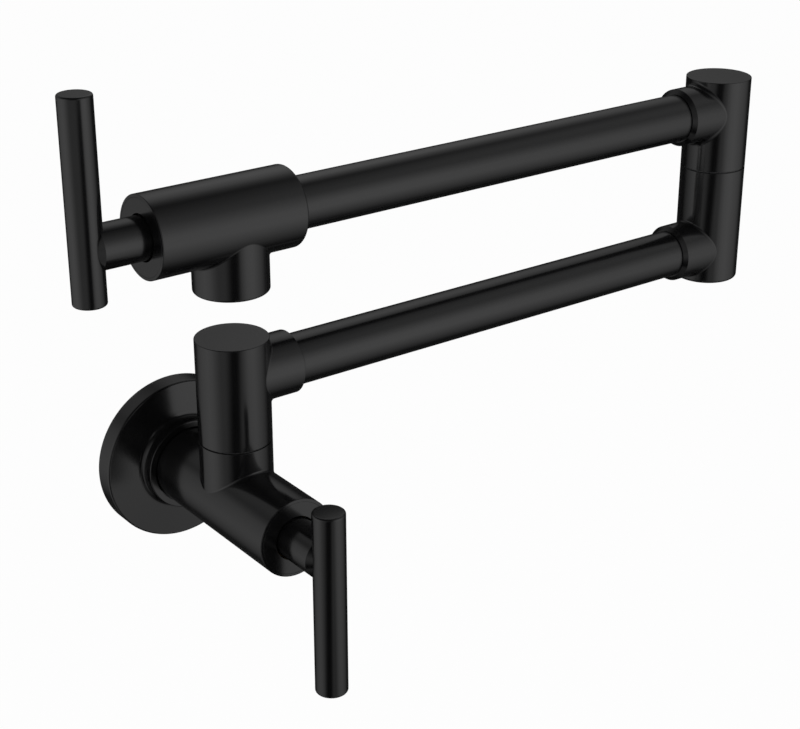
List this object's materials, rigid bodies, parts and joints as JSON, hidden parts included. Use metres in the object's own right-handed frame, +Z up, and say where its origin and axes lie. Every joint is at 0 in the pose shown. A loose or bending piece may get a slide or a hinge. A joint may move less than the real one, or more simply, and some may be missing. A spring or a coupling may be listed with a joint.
{
  "type": "wall mounted pot filler",
  "caption": "Wall mounted folding pot filler in satin black: swivelling double-jointed arm, lever valve at the wall and at the spout.",
  "frame": {"origin": "centre of the inlet thread at the wall plane, which is also the centre of the flange's back", "axes": "+Y into the wall along the inlet thread, +X along the folded arms, +Z up"},
  "size_m": [0.324, 0.1367, 0.2193],
  "materials": {
    "satin_black": "satin",
    "raw_brass": "machined",
    "valve_ceramic": "polished",
    "seal_rubber": "matte",
    "screw_steel": "satin",
    "aerator_plastic": "satin",
    "glide_ptfe": "satin"
  },
  "bodies": {
    "root": {"wall_flange": "satin_black", "wall_gasket": "seal_rubber", "flange_grip_ring": "seal_rubber", "inlet_nipple": "raw_brass", "wall_valve_body": "satin_black", "wall_valve_cap": "satin_black", "wall_cartridge": "raw_brass", "wall_seat_seal": "seal_rubber", "wall_fixed_disc": "valve_ceramic", "post_spigot": "raw_brass", "post_sealing_rings": "seal_rubber", "post_glide_washer": "glide_ptfe"},
    "wall_handle": {"wall_spindle": "raw_brass", "wall_turning_disc": "valve_ceramic", "wall_spindle_ring": "seal_rubber", "wall_handle_hub": "satin_black", "wall_handle_bar": "satin_black", "wall_bar_screw": "screw_steel", "wall_grub_screw": "screw_steel"},
    "lower_arm": {"lower_arm_head": "satin_black", "post_lock_screw": "screw_steel", "lower_tube": "satin_black", "elbow_lower_half": "satin_black", "elbow_spigot": "raw_brass", "elbow_sealing_rings": "seal_rubber", "elbow_glide_washer": "glide_ptfe"},
    "upper_arm": {"elbow_upper_half": "satin_black", "elbow_lock_screw": "screw_steel", "upper_tube": "satin_black", "end_valve_body": "satin_black", "end_valve_cap": "satin_black", "end_cartridge": "raw_brass", "end_seat_seal": "seal_rubber", "end_fixed_disc": "valve_ceramic", "aerator_washer": "seal_rubber", "aerator_housing": "satin_black", "aerator_insert": "aerator_plastic"},
    "end_handle": {"end_spindle": "raw_brass", "end_turning_disc": "valve_ceramic", "end_spindle_ring": "seal_rubber", "end_handle_hub": "satin_black", "end_handle_bar": "satin_black", "end_bar_screw": "screw_steel", "end_grub_screw": "screw_steel"}
  },
  "joints": [
    {"name": "wall_swivel", "type": "hinge", "parent": "root", "child": "lower_arm", "pos_m": [0, -0.0495, 0.025], "axis": [0, 0, 1], "range_deg": [-185, 5]},
    {"name": "elbow_swivel", "type": "hinge", "parent": "lower_arm", "child": "upper_arm", "pos_m": [0.2484, -0.0495, 0.0866], "axis": [0, 0, 1], "continuous": true},
    {"name": "wall_handle_turn", "type": "hinge", "parent": "root", "child": "wall_handle", "pos_m": [0, -0.0894, 0], "axis": [0, -1, 0], "range_deg": [0, 90]},
    {"name": "end_handle_turn", "type": "hinge", "parent": "upper_arm", "child": "end_handle", "pos_m": [-0.0344, -0.0495, 0.1113], "axis": [1, 0, 0], "range_deg": [0, 90]}
  ]
}
